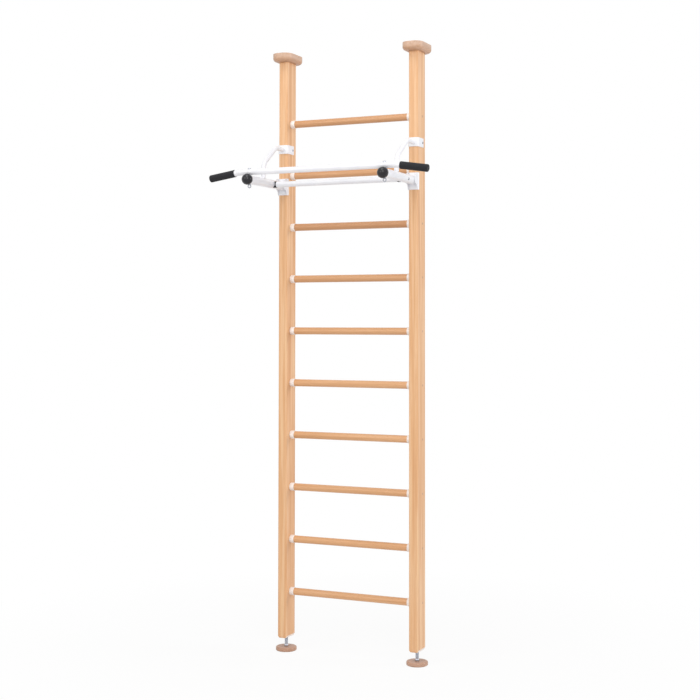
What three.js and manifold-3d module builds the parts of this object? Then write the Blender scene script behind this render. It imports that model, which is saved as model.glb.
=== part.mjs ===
// Wooden wall bars that stand jammed between floor and ceiling, with a steel pull-up bar.
// Millimetres, +Z up. The origin is on the floor midway between the feet, and the front faces -Y.
import * as THREE from "three";
import { mergeVertices } from "three/addons/utils/BufferGeometryUtils.js";
import Module from "manifold-3d";

const wasm = await Module();
wasm.setup();

// Clearance between pieces that touch
const seatGap = 0.3;

// Posts
const postSpacing = 597;
const postWidth = 41;
const postDepth = 85;
const postBottom = 58;
const postAboveRungs = 264;
const postEdgeRadius = 8;
const postEndChamfer = 7;

// Rungs, the collars at their ends and the screw plugs behind them
const rungCount = 10;
const rungDiameter = 30;
const rungPitch = 220;
const firstRungHeight = 250;
const rungSocketDepth = 24;
const collarLength = 19;
const collarWall = 1.7;
const plugDiameter = 10;
const plugDepth = 4;
const plugSetback = 9.5;

// Ceiling pads and their countersunk screws
const padWidth = 90;
const padDepth = 152;
const padThickness = 34;
const padCornerRadius = 37;
const padEdgeRound = 15;
const padScrewSpacing = 44;
const padScrewDiameter = 7;
const padScrewHead = 14;

// Screw feet
const discDiameter = 88;
const discThickness = 17.5;
const discEdgeRound = 5;
const cupDepth = 6;
const ballDiameter = 17;
const footScrewDiameter = 14;
const footScrewReach = 68;
const screwEndChamfer = 1;
const footTravelUp = 25;
const insertDiameter = 18;
const insertLength = 60;
const insertNose = 5;
const insertEndChamfer = 1;

// Pull-up bar: arms, brackets, clamps and braces, set out from the front of the posts
const rungCountToArms = 9;
const armBelowRung = 46;
const armDiameter = 36;
const armWall = 3;
const armNose = 19;
const armCapDiameter = 45;
const armCapSkirt = 10;
const bracketAbove = 31;
const bracketBelow = 39;
const bracketSideLength = 9.5;
const sheetThickness = 3;
const cheekReach = 23.5;
const cheekShoulder = 12;
const cheekWaist = 14;
const clampRise = 156;
const clampBand = 37;
const clampSideLength = 56.5;
const clampScrewDiameter = 5;
const clampScrewInset = 11;
const braceDiameter = 19;
const braceReach = 172.5;
const braceShoulder = 65.5;
const braceKnee = 76;
const braceBend = 55;

// Pull-up bar: the gripping bar, its foam grips, its eye bolts and the cross bar
const barDiameter = 25;
const barReach = 290.5;
const barElbow = 345;
const barDropDegrees = 8.6;
const barBend = 80;
const gripStart = 20;
const gripLength = 117;
const gripDiameter = 30;
const gripEndWall = 3;
const gripEdgeRound = 3;
const boltDiameter = 8;
const eyeRadius = 6.3;
const eyeWire = 4.4;
const eyeCollarDiameter = 12;
const nutDiameter = 14;
const nutHeight = 6;
const crossBarDiameter = 23.5;
const crossBarReach = 100.5;
const crossBarDrop = 3.5;
const crossBarDome = 22;
const saddleWeb = 3.5;
const saddleDiameter = 29;

// Facets around a full circle
const fineFacets = 24;
const plainFacets = 16;
const smallFacets = 12;

// Places that follow from the sizes above
const sides = [["left", -1], ["right", 1]];
const rungHeights = Array.from({ length: rungCount }, (_, i) => firstRungHeight + i * rungPitch);
const postTop = rungHeights[rungCount - 1] + postAboveRungs;
const armHeight = rungHeights[rungCountToArms - 1] - armBelowRung;
const clampHeight = armHeight + clampRise;
const barDrop = THREE.MathUtils.degToRad(barDropDegrees);
const postX = postSpacing / 2;
const postFront = -postDepth / 2;
const postEndInset = postEdgeRadius * 0.6;
const sheetFront = postFront - seatGap - sheetThickness;
const armTop = armHeight + armDiameter / 2;
const armBottom = armHeight - armDiameter / 2;
const barY = postFront - barReach;
const barHeight = armTop + seatGap + barDiameter / 2;
const barTop = barHeight + barDiameter / 2;
const armNoseY = barY - armNose;
const crossBarY = postFront - crossBarReach;
const crossBarHeight = armHeight - crossBarDrop;

const pine = new THREE.MeshStandardMaterial({ color: 0xe9b98a, roughness: 0.55, metalness: 0 });
const beech = new THREE.MeshStandardMaterial({ color: 0xc98d5c, roughness: 0.45, metalness: 0 });
const oiledPine = new THREE.MeshStandardMaterial({ color: 0xd3a27c, roughness: 0.55, metalness: 0 });
const whitePlastic = new THREE.MeshStandardMaterial({ color: 0xf4ece6, roughness: 0.4, metalness: 0 });
const whitePaint = new THREE.MeshStandardMaterial({ color: 0xf3f2f5, roughness: 0.35, metalness: 0 });
const zincSteel = new THREE.MeshStandardMaterial({ color: 0xb9bcc4, roughness: 0.35, metalness: 1 });
const blackPlastic = new THREE.MeshStandardMaterial({ color: 0x2d2d33, roughness: 0.5, metalness: 0 });
const blackFoam = new THREE.MeshStandardMaterial({ color: 0x35353c, roughness: 0.9, metalness: 0 });

const wallBars = new THREE.Group();

function addPiece(name, geometry, material, x = 0, y = 0, z = 0) {
  const piece = new THREE.Mesh(geometry, material);
  piece.name = name;
  piece.position.set(x, y, z);
  wallBars.add(piece);
}

function solidOf(geometry) {
  const bare = geometry.index ? geometry.toNonIndexed() : geometry.clone();
  bare.deleteAttribute("normal");
  bare.deleteAttribute("uv");
  const merged = mergeVertices(bare, 1e-4);
  const mesh = new wasm.Mesh({
    numProp: 3,
    vertProperties: merged.attributes.position.array,
    triVerts: new Uint32Array(merged.index.array),
  });
  return new wasm.Manifold(mesh);
}

function geometryOf(solid) {
  const mesh = solid.getMesh();
  const geometry = new THREE.BufferGeometry();
  geometry.setAttribute("position", new THREE.BufferAttribute(mesh.vertProperties, 3));
  geometry.setIndex(new THREE.BufferAttribute(mesh.triVerts, 1));
  geometry.computeVertexNormals();
  return geometry;
}

function cut(geometry, tools) {
  const trimmed = tools.reduce((body, tool) => body.subtract(solidOf(tool)), solidOf(geometry));
  return geometryOf(trimmed);
}

function join(geometries) {
  const whole = geometries.map(solidOf).reduce((body, extra) => body.add(extra));
  return geometryOf(whole);
}

// A profile of [radius, height] points turned about the Z axis
function turned(profile, facets) {
  const points = profile.map(([radius, height]) => new THREE.Vector2(radius, height));
  if (THREE.ShapeUtils.area(points) < 0) points.reverse();
  const closes = profile.some(([radius]) => radius === 0) === false;
  if (closes) points.push(points[0].clone());
  return new THREE.LatheGeometry(points, facets).rotateX(Math.PI / 2);
}

// A quarter round from [radius - round, level] out to the full radius, or back in above it
function quarterRound(radius, level, round, rising, steps = 2) {
  return Array.from({ length: steps + 1 }, (_, step) => {
    const angle = (Math.PI / 2) * (step / steps);
    const out = rising ? Math.sin(angle) : Math.cos(angle);
    const up = rising ? 1 - Math.cos(angle) : Math.sin(angle) - 1;
    return [radius - round + round * out, level + round * up];
  });
}

function cylinderX(radius, length, facets) {
  return new THREE.CylinderGeometry(radius, radius, length, facets).rotateZ(Math.PI / 2);
}

function cylinderY(radius, length, facets) {
  return new THREE.CylinderGeometry(radius, radius, length, facets);
}

function cylinderZ(radius, length, facets) {
  return new THREE.CylinderGeometry(radius, radius, length, facets).rotateX(Math.PI / 2);
}

function roundedRectangle(width, depth, radius) {
  const halfWidth = width / 2;
  const halfDepth = depth / 2;
  const shape = new THREE.Shape();
  shape.absarc(halfWidth - radius, halfDepth - radius, radius, 0, Math.PI / 2);
  shape.absarc(radius - halfWidth, halfDepth - radius, radius, Math.PI / 2, Math.PI);
  shape.absarc(radius - halfWidth, radius - halfDepth, radius, Math.PI, Math.PI * 1.5);
  shape.absarc(halfWidth - radius, radius - halfDepth, radius, Math.PI * 1.5, Math.PI * 2);
  shape.closePath();
  return shape;
}

// A path with a station at every change of direction, so that straight runs take one step
class BentPath extends THREE.Curve {
  constructor(corners, bendRadius, bendSteps = 4) {
    super();
    this.stations = [corners[0]];
    for (let i = 1; i < corners.length - 1; i += 1) {
      const before = corners[i - 1].clone().sub(corners[i]).normalize();
      const after = corners[i + 1].clone().sub(corners[i]).normalize();
      const turn = Math.PI - before.angleTo(after);
      const setback = bendRadius * Math.tan(turn / 2);
      const enter = corners[i].clone().addScaledVector(before, setback);
      const inward = before.clone().add(after).normalize();
      const centre = corners[i].clone().addScaledVector(inward, bendRadius / Math.cos(turn / 2));
      const spoke = enter.clone().sub(centre);
      const axle = after.clone().cross(before).normalize();
      for (let step = 0; step <= bendSteps; step += 1) {
        const swing = spoke.clone().applyAxisAngle(axle, (turn * step) / bendSteps);
        this.stations.push(centre.clone().add(swing));
      }
    }
    this.stations.push(corners[corners.length - 1]);
    this.steps = this.stations.length - 1;
  }
  getPoint(share) {
    const place = share * this.steps;
    const index = Math.min(Math.floor(place), this.steps - 1);
    return this.stations[index].clone().lerp(this.stations[index + 1], place - index);
  }
  getPointAt(share) {
    return this.getPoint(share);
  }
  getTangentAt(share) {
    const index = Math.round(share * this.steps);
    const ahead = this.stations[Math.min(index + 1, this.steps)];
    const behind = this.stations[Math.max(index - 1, 0)];
    const here = this.stations[index];
    const out = ahead.clone().sub(here).normalize();
    const back = here.clone().sub(behind).normalize();
    return out.add(back).normalize();
  }
}

function bentRod(corners, diameter, bendRadius, facets) {
  const path = new BentPath(corners, bendRadius);
  const section = new THREE.Shape();
  for (let facet = 0; facet < facets; facet += 1) {
    const angle = (facet / facets) * Math.PI * 2;
    const point = [Math.cos(angle) * (diameter / 2), Math.sin(angle) * (diameter / 2)];
    if (facet === 0) section.moveTo(...point);
    else section.lineTo(...point);
  }
  return new THREE.ExtrudeGeometry(section, { extrudePath: path, steps: path.steps });
}

// Posts: planed pine with rounded long edges and a chamfered foot. Each is drilled with blind
// sockets for the rungs, plug recesses outside them, and a stepped bore for the screw foot.
const footScrewTop = postBottom + footScrewReach;
const boreTop = footScrewTop + footTravelUp + seatGap * 10;

function post(side) {
  const length = postTop - postBottom;
  const bar = new THREE.ExtrudeGeometry(roundedRectangle(postWidth, postDepth, postEdgeRadius), {
    depth: length,
    bevelThickness: postEndChamfer,
    bevelSize: postEndInset,
    bevelOffset: -postEndInset,
    bevelSegments: 1,
    curveSegments: 4,
  });
  bar.translate(0, 0, postBottom + postEndChamfer);
  const topWaste = new THREE.BoxGeometry(postWidth * 2, postDepth * 2, postEndChamfer * 4);
  topWaste.translate(0, 0, postTop + postEndChamfer * 2);
  const insertBore = cylinderZ(insertDiameter / 2 + seatGap, insertLength * 2, plainFacets);
  insertBore.translate(0, 0, postBottom);
  const screwBore = cylinderZ(footScrewDiameter / 2 + seatGap, boreTop - postBottom, plainFacets);
  screwBore.translate(0, 0, (boreTop + postBottom) / 2);
  const tools = [topWaste, insertBore, screwBore];
  for (const height of rungHeights) {
    const socket = cylinderX(rungDiameter / 2 + seatGap, rungSocketDepth * 2, plainFacets);
    tools.push(socket.translate(-side * (postWidth / 2), 0, height));
    const recess = cylinderX(plugDiameter / 2, plugDepth * 2, smallFacets);
    tools.push(recess.translate(side * (postWidth / 2), plugSetback, height));
  }
  return cut(bar, tools);
}

for (const [label, side] of sides) {
  addPiece(`post_${label}`, post(side), pine, side * postX);
}

// Rungs: turned beech dowels seated in the sockets, with a white collar over each end
const clearWidth = postSpacing - postWidth;
const rungLength = clearWidth + 2 * (rungSocketDepth - seatGap);
const collarBore = rungDiameter / 2 + seatGap;
const collarRadius = collarBore + collarWall;
const collarProfile = [
  [collarBore, 0],
  [collarRadius, 0],
  [collarRadius, collarLength],
  [collarBore, collarLength],
];

rungHeights.forEach((height, index) => {
  const number = String(index + 1).padStart(2, "0");
  addPiece(`rung_${number}`, cylinderX(rungDiameter / 2, rungLength, plainFacets), beech, 0, 0, height);
  for (const [label, side] of sides) {
    const collar = turned(collarProfile, plainFacets).rotateY((-side * Math.PI) / 2);
    const seat = side * (clearWidth / 2 - seatGap);
    addPiece(`collar_${label}_${number}`, collar, whitePlastic, seat, 0, height);
  }
});

// Ceiling pads: oblong boards with round corners and a round lower edge, screwed down onto the posts
function ceilingPad() {
  const outline = roundedRectangle(padWidth, padDepth, padCornerRadius);
  const board = new THREE.ExtrudeGeometry(outline, {
    depth: padThickness,
    bevelThickness: padEdgeRound,
    bevelSize: padEdgeRound,
    bevelOffset: -padEdgeRound,
    bevelSegments: 3,
    curveSegments: 4,
  });
  board.translate(0, 0, padEdgeRound);
  const topWaste = new THREE.BoxGeometry(padWidth * 2, padDepth * 2, padThickness * 2);
  topWaste.translate(0, 0, padThickness * 2);
  const headDepth = (padScrewHead - padScrewDiameter) / 2;
  const screwHole = [
    [0, -padEdgeRound],
    [padScrewDiameter / 2, -padEdgeRound],
    [padScrewDiameter / 2, padThickness - headDepth],
    [padScrewHead / 2, padThickness],
    [padScrewHead / 2, padThickness + padEdgeRound],
    [0, padThickness + padEdgeRound],
  ];
  const holes = [-1, 1].map((end) => {
    return turned(screwHole, smallFacets).translate(0, (end * padScrewSpacing) / 2, 0);
  });
  return cut(board, [topWaste, ...holes]);
}

for (const [label, side] of sides) {
  addPiece(`ceiling_pad_${label}`, ceilingPad(), oiledPine, side * postX, 0, postTop + seatGap);
}

// Screw feet: a threaded bush in the stepped bore of the post, a ball-ended screw that runs in it,
// and a round wooden disc whose cup the ball turns in
const ballRadius = ballDiameter / 2;
const ballHeight = discThickness - cupDepth + seatGap + ballRadius;
const cupRadius = ballRadius + seatGap;
const cupMouth = Math.sqrt(cupRadius ** 2 - (ballHeight - discThickness) ** 2);

function arcPoints(radius, level, from, to, steps) {
  return Array.from({ length: steps + 1 }, (_, step) => {
    const angle = from + ((to - from) * step) / steps;
    return [Math.abs(radius * Math.cos(angle)) < 1e-6 ? 0 : radius * Math.cos(angle),
      level + radius * Math.sin(angle)];
  });
}

function footDisc() {
  const mouthAngle = -Math.acos(cupMouth / cupRadius);
  return turned(
    [
      [0, 0],
      ...quarterRound(discDiameter / 2, 0, discEdgeRound, true),
      ...quarterRound(discDiameter / 2, discThickness, discEdgeRound, false),
      ...arcPoints(cupRadius, ballHeight, mouthAngle, -Math.PI / 2, 4),
    ],
    fineFacets,
  );
}

function footScrew() {
  const screwRadius = footScrewDiameter / 2;
  const neckAngle = Math.acos(screwRadius / ballRadius);
  return turned(
    [
      ...arcPoints(ballRadius, ballHeight, -Math.PI / 2, neckAngle, 5),
      [screwRadius, footScrewTop - screwEndChamfer],
      [screwRadius - screwEndChamfer, footScrewTop],
      [0, footScrewTop],
    ],
    plainFacets,
  );
}

function footInsert() {
  const boreRadius = footScrewDiameter / 2 + seatGap;
  const radius = insertDiameter / 2;
  return turned(
    [
      [boreRadius, -insertNose],
      [radius - insertEndChamfer, -insertNose],
      [radius, insertEndChamfer - insertNose],
      [radius, insertLength - seatGap],
      [boreRadius, insertLength - seatGap],
    ],
    plainFacets,
  );
}

for (const [label, side] of sides) {
  const x = side * postX;
  addPiece(`foot_disc_${label}`, footDisc(), oiledPine, x);
  addPiece(`foot_screw_${label}`, footScrew(), zincSteel, x);
  addPiece(`foot_insert_${label}`, footInsert(), zincSteel, x, 0, postBottom);
}

// Clamps: a steel band bent round the front and both sides of each post, holed for its screws
function roundPost(clearance, height) {
  const width = postWidth + 2 * clearance;
  const depth = postDepth + 2 * clearance;
  const block = new THREE.ExtrudeGeometry(roundedRectangle(width, depth, postEdgeRadius + clearance), {
    depth: height,
    bevelEnabled: false,
    curveSegments: 4,
  });
  return block.translate(0, 0, -height / 2);
}

function frontBand(sideLength, height) {
  const waste = new THREE.BoxGeometry(postWidth * 2, postDepth * 2, height * 2);
  waste.translate(0, postFront - seatGap + sideLength + postDepth, 0);
  return cut(roundPost(seatGap + sheetThickness, height), [roundPost(seatGap, height * 2), waste]);
}

function braceClamp() {
  const screwHoles = cylinderX(clampScrewDiameter / 2, postWidth * 2, smallFacets);
  screwHoles.translate(0, postFront - seatGap + clampSideLength - clampScrewInset, 0);
  return cut(frontBand(clampSideLength, clampBand), [screwHoles]);
}

// Braces: a rod that leaves each clamp level, slants forward and drops upright onto the arm
function brace() {
  const corners = [
    [sheetFront - seatGap, clampHeight],
    [postFront - braceShoulder, clampHeight],
    [postFront - braceReach, armHeight + braceKnee],
    [postFront - braceReach, armHeight],
  ].map(([y, z]) => new THREE.Vector3(0, y, z));
  const rod = bentRod(corners, braceDiameter, braceBend, smallFacets);
  const armSeat = cylinderY(armDiameter / 2 + seatGap, braceReach * 2, fineFacets);
  return cut(rod, [armSeat.translate(0, postFront - braceReach, armHeight)]);
}

// Brackets: a plate folded round the front of the post, with a cheek on each side of the arm whose
// lower edge sweeps down to the foot of the plate
function armBracket() {
  const cheekInner = armDiameter / 2 + seatGap;
  const cheekRoot = bracketSideLength;
  const height = bracketAbove + bracketBelow;
  const plate = frontBand(bracketSideLength, height);
  const blank = [plate.translate(0, 0, (bracketAbove - bracketBelow) / 2)];
  const outline = new THREE.Shape();
  outline.moveTo(0, bracketAbove);
  outline.quadraticCurveTo(cheekReach, bracketAbove, cheekReach, cheekShoulder);
  outline.lineTo(cheekReach, -cheekWaist);
  outline.quadraticCurveTo(cheekReach / 4, -cheekWaist, 0, -bracketBelow);
  outline.lineTo(-cheekRoot, -bracketBelow);
  outline.lineTo(-cheekRoot, bracketAbove);
  outline.closePath();
  for (const flank of [-1, 1]) {
    const cheek = new THREE.ExtrudeGeometry(outline, {
      depth: sheetThickness,
      bevelEnabled: false,
      curveSegments: 5,
    });
    cheek.rotateX(Math.PI / 2).rotateZ(-Math.PI / 2);
    cheek.translate(flank * (cheekInner + sheetThickness / 2) + sheetThickness / 2, sheetFront, 0);
    blank.push(cheek);
  }
  return cut(join(blank), [roundPost(seatGap, height * 2)]);
}

// Arms: steel tubes from the brackets forward, drilled for the eye bolts, with a ball cap each
const tubeRear = sheetFront - seatGap;
const boltHole = boltDiameter / 2 + seatGap;

function arm() {
  const outer = armDiameter / 2;
  const tube = turned(
    [
      [outer - armWall, 0],
      [outer, 0],
      [outer, tubeRear - armNoseY],
      [outer - armWall, tubeRear - armNoseY],
    ],
    fineFacets,
  );
  tube.rotateX(Math.PI / 2).translate(0, tubeRear, 0);
  const hole = cylinderZ(boltHole, armDiameter * 2, smallFacets);
  return cut(tube, [hole.translate(0, barY, 0)]);
}

function armCap() {
  const ball = armCapDiameter / 2;
  const bore = armDiameter / 2 + seatGap;
  const skirtAngle = Math.asin(armCapSkirt / ball);
  return turned(
    [
      ...arcPoints(ball, 0, -Math.PI / 2, skirtAngle, 6),
      [bore, armCapSkirt],
      [bore, -seatGap],
      [0, -seatGap],
    ],
    fineFacets,
  );
}

for (const [label, side] of sides) {
  const x = side * postX;
  addPiece(`brace_clamp_${label}`, braceClamp(), whitePaint, x, 0, clampHeight);
  addPiece(`brace_${label}`, brace(), whitePaint, x);
  addPiece(`arm_bracket_${label}`, armBracket(), whitePaint, x, 0, armHeight);
  addPiece(`arm_${label}`, arm(), whitePaint, x, 0, armHeight);
  addPiece(`arm_cap_${label}`, armCap().rotateX(-Math.PI / 2), blackPlastic, x, armNoseY, armHeight);
}

// Pull-up bar: one bar across the arms, drilled for the eye bolts, whose ends slope down into grips
const gripBoreDepth = gripLength - gripEndWall;
const barLeg = gripStart + gripBoreDepth - seatGap;

function legPoint(side, along) {
  return new THREE.Vector3(
    side * (barElbow + along * Math.cos(barDrop)),
    barY,
    barHeight - along * Math.sin(barDrop),
  );
}

const barCorners = [legPoint(-1, barLeg), legPoint(-1, 0), legPoint(1, 0), legPoint(1, barLeg)];
const barHoles = sides.map(([, side]) => {
  return cylinderZ(boltHole, barDiameter * 2, smallFacets).translate(side * postX, barY, barHeight);
});
addPiece("pull_up_bar", cut(bentRod(barCorners, barDiameter, barBend, plainFacets), barHoles), whitePaint);

// Grips: foam sleeves with a closed round-edged end, pulled over the sloping ends of the bar
const gripBore = barDiameter / 2 + seatGap;
const gripProfile = [
  [0, gripBoreDepth],
  [gripBore, gripBoreDepth],
  [gripBore, 0],
  ...quarterRound(gripDiameter / 2, 0, (gripDiameter - barDiameter) / 4, true),
  ...quarterRound(gripDiameter / 2, gripLength, gripEdgeRound, false),
  [0, gripLength],
];

for (const [label, side] of sides) {
  const grip = turned(gripProfile, fineFacets).rotateY(side * (Math.PI / 2 + barDrop));
  const mouth = legPoint(side, gripStart);
  addPiece(`grip_${label}`, grip, blackFoam, mouth.x, mouth.y, mouth.z);
}

// Eye bolts: each runs up through the arm and the bar, with its eye hanging below the arm and a
// domed nut on top whose foot is hollowed to sit on the bar
const eyeOuter = eyeRadius + eyeWire / 2;
const eyeHeight = armBottom - seatGap - eyeOuter;

function eyeBolt() {
  const ring = new THREE.TorusGeometry(eyeRadius, eyeWire / 2, 7, plainFacets).rotateX(Math.PI / 2);
  ring.translate(0, 0, eyeHeight);
  const shankLength = barTop + nutHeight / 2 - eyeHeight - eyeRadius;
  const shank = cylinderZ(boltDiameter / 2, shankLength, smallFacets);
  shank.translate(0, 0, eyeHeight + eyeRadius + shankLength / 2);
  const collar = cylinderZ(eyeCollarDiameter / 2, eyeWire / 2, smallFacets);
  collar.translate(0, 0, armBottom - seatGap - eyeWire / 4);
  return join([ring, shank, collar]);
}

function eyeBoltNut() {
  const radius = nutDiameter / 2;
  const foot = barHeight;
  const dome = turned(
    [
      [0, barTop + nutHeight / 2 + seatGap],
      [boltHole, barTop + nutHeight / 2 + seatGap],
      [boltHole, foot],
      [radius, foot],
      [radius, barTop + nutHeight / 2],
      [radius * 0.8, barTop + nutHeight * 0.85],
      [radius * 0.4, barTop + nutHeight],
      [0, barTop + nutHeight],
    ],
    smallFacets,
  );
  const barSeat = cylinderX(barDiameter / 2 + seatGap, nutDiameter * 2, fineFacets);
  return cut(dome, [barSeat.translate(0, 0, barHeight)]);
}

for (const [label, side] of sides) {
  addPiece(`eye_bolt_${label}`, eyeBolt(), zincSteel, side * postX, barY);
  addPiece(`eye_bolt_nut_${label}`, eyeBoltNut(), zincSteel, side * postX, barY);
}

// Cross bar: a straight bar with domed ends between the arms, held off them by hollowed saddles
const saddleFace = postX - armDiameter / 2 - seatGap;
const crossBarEnd = saddleFace - saddleWeb - seatGap;
const domeCentre = crossBarEnd - crossBarDome;
const domeEdgeAngle = Math.acos(crossBarDiameter / 2 / crossBarDome);
const crossBarProfile = [
  ...arcPoints(crossBarDome, -domeCentre, -Math.PI / 2, -domeEdgeAngle, 3),
  ...arcPoints(crossBarDome, domeCentre, domeEdgeAngle, Math.PI / 2, 3),
];
const crossBar = turned(crossBarProfile, plainFacets).rotateY(Math.PI / 2);
addPiece("cross_bar", crossBar, whitePaint, 0, crossBarY, crossBarHeight);

function crossBarSaddle() {
  const domeEdge = domeCentre + crossBarDome * Math.sin(domeEdgeAngle);
  const length = postX - domeEdge;
  const blank = cylinderX(saddleDiameter / 2, length, plainFacets);
  blank.translate(domeEdge + length / 2, 0, 0);
  const armSeat = cylinderY(armDiameter / 2 + seatGap, saddleDiameter * 2, fineFacets);
  armSeat.translate(postX, 0, crossBarDrop);
  const domeSeat = cylinderY(crossBarDome + seatGap, saddleDiameter * 2, fineFacets);
  return cut(blank, [armSeat, domeSeat.translate(domeCentre, 0, 0)]);
}

for (const [label, side] of sides) {
  const saddle = crossBarSaddle().rotateZ(side < 0 ? Math.PI : 0);
  addPiece(`cross_bar_saddle_${label}`, saddle, blackPlastic, 0, crossBarY, crossBarHeight);
}

export default wallBars;
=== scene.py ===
import math

import bpy
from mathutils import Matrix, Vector


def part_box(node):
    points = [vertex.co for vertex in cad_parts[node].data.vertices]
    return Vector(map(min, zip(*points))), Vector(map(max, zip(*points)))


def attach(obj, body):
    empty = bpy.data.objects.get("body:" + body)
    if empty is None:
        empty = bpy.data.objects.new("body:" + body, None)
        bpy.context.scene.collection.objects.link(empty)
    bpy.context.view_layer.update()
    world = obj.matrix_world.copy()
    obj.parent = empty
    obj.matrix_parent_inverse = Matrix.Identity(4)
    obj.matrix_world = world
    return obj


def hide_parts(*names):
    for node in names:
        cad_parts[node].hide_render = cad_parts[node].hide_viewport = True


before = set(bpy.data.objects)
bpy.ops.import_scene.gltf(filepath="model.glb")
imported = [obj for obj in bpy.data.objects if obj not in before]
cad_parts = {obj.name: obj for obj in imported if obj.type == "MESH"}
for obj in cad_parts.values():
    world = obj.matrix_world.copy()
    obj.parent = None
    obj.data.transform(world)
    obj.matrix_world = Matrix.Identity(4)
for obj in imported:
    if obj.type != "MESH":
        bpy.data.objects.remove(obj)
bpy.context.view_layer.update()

# Posts
# Two uprights of planed pine with rounded long edges, lacquered all over. The side chamfers of the
# lower end carry a near-white painted reflection of the floor; the front and back chamfers don't.
# The rung sockets, the plug holes and the stepped bore for the foot are drilled.
POST_EDGE = 0.008
POST_END_CHAMFER = 0.007
POST_END_INSET = 0.0048
SOCKET_RADIUS = 0.0153
SOCKET_DEPTH = 0.024
PLUG_RADIUS = 0.005
PLUG_DEPTH = 0.004
PLUG_SETBACK = 0.0095
BUSH_BORE = (0.0093, 0.118)
SCREW_BORE = (0.0073, 0.154)
RUNG_COUNT = 10
RUNG_PITCH = 0.220
STREAK_WIDTH, STREAK_LENGTH = 0.014, 0.5
FIBRE_WIDTH, FIBRE_LENGTH = 0.002, 0.07
RING_STRETCH = 0.04
WAVE_SPACING = 2 * math.pi / 20
LOG_HEART = (0.031, 0.052, 0.0)
BATCH_START = (26.4, 0.0, 0.5)
FLANK_FADE = 0.005
SIDES = (("left", -1), ("right", 1))


def middle_of(node):
    """The middle of a CAD node's box at rest."""
    low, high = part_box(node)
    return (low + high) / 2


def take_up(piece):
    """Selects one piece alone, ready for the next operator."""
    bpy.ops.object.select_all(action="DESELECT")
    piece.select_set(True)
    bpy.context.view_layer.objects.active = piece


def settle(piece):
    """Puts a piece's place, turn and scale into its mesh."""
    take_up(piece)
    bpy.ops.object.transform_apply(location=True, rotation=True, scale=True)


def blank(low, high):
    """A squared block between two corners."""
    bpy.ops.object.select_all(action="DESELECT")
    bpy.ops.mesh.primitive_cube_add(size=1, location=(low + high) / 2)
    block = bpy.context.active_object
    block.scale = high - low
    settle(block)
    return block


def round_blank(start, end, radius, facets):
    """A round block between two points, also used as a drill."""
    bpy.ops.object.select_all(action="DESELECT")
    run = Vector(end) - Vector(start)
    bpy.ops.mesh.primitive_cylinder_add(vertices=facets, radius=radius, depth=run.length)
    block = bpy.context.active_object
    block.rotation_euler = run.to_track_quat("Z", "Y").to_euler()
    block.location = Vector(start) + run / 2
    settle(block)
    return block


def pick_faces(piece, wanted):
    """Goes into edit mode with only those faces selected that wanted(centre, normal) asks for."""
    take_up(piece)
    bpy.ops.object.mode_set(mode="EDIT")
    bpy.ops.mesh.select_mode(type="FACE")
    bpy.ops.mesh.select_all(action="DESELECT")
    bpy.ops.object.mode_set(mode="OBJECT")
    for face in piece.data.polygons:
        face.select = wanted(face.center, face.normal)
    bpy.ops.object.mode_set(mode="EDIT")


def pick_edges(piece, wanted):
    """Goes into edit mode with only those edges selected that wanted(end, end) asks for."""
    take_up(piece)
    bpy.ops.object.mode_set(mode="EDIT")
    bpy.ops.mesh.select_mode(type="EDGE")
    bpy.ops.mesh.select_all(action="DESELECT")
    bpy.ops.object.mode_set(mode="OBJECT")
    points = piece.data.vertices
    for edge in piece.data.edges:
        edge.select = wanted(points[edge.vertices[0]].co, points[edge.vertices[1]].co)
    bpy.ops.object.mode_set(mode="EDIT")


def apply_all(piece):
    """Applies a piece's modifiers in their order."""
    take_up(piece)
    for name in [modifier.name for modifier in piece.modifiers]:
        bpy.ops.object.modifier_apply(modifier=name)


def cut_with(piece, cutter, operation="DIFFERENCE"):
    """Cuts a shape out of a piece, or welds it on, and clears the shape away."""
    tool = piece.modifiers.new("tool", "BOOLEAN")
    tool.operation = operation
    tool.solver = "MANIFOLD"
    tool.object = cutter
    apply_all(piece)
    bpy.data.objects.remove(cutter)


def ease(piece, degrees=35):
    """Shades a piece smooth up to an angle, with its broad faces kept flat."""
    take_up(piece)
    bpy.ops.object.shade_smooth_by_angle(angle=math.radians(degrees))
    flats = piece.modifiers.new("flats", "WEIGHTED_NORMAL")
    flats.keep_sharp = True
    apply_all(piece)


def copy_of(piece, shift):
    """A copy with its own mesh, moved by a shift."""
    take_up(piece)
    bpy.ops.object.duplicate(linked=False)
    copy = bpy.context.active_object
    copy.location = shift
    settle(copy)
    return copy


def hand_over(piece, name, material, slot, body, *nodes):
    """Names a finished piece, and sets it on its body in place of its CAD nodes."""
    piece.name = name
    piece.data.name = name
    piece.data.materials.clear()
    piece.data.materials.append(material)
    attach(piece, body)
    if nodes:
        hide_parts(*nodes)


def row_of(cutter):
    """Repeats a drill up the post, once for each rung."""
    row = cutter.modifiers.new("row", "ARRAY")
    row.use_relative_offset = False
    row.use_constant_offset = True
    row.constant_offset_displace = (0, 0, RUNG_PITCH)
    row.count = RUNG_COUNT
    apply_all(cutter)
    return cutter


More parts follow.
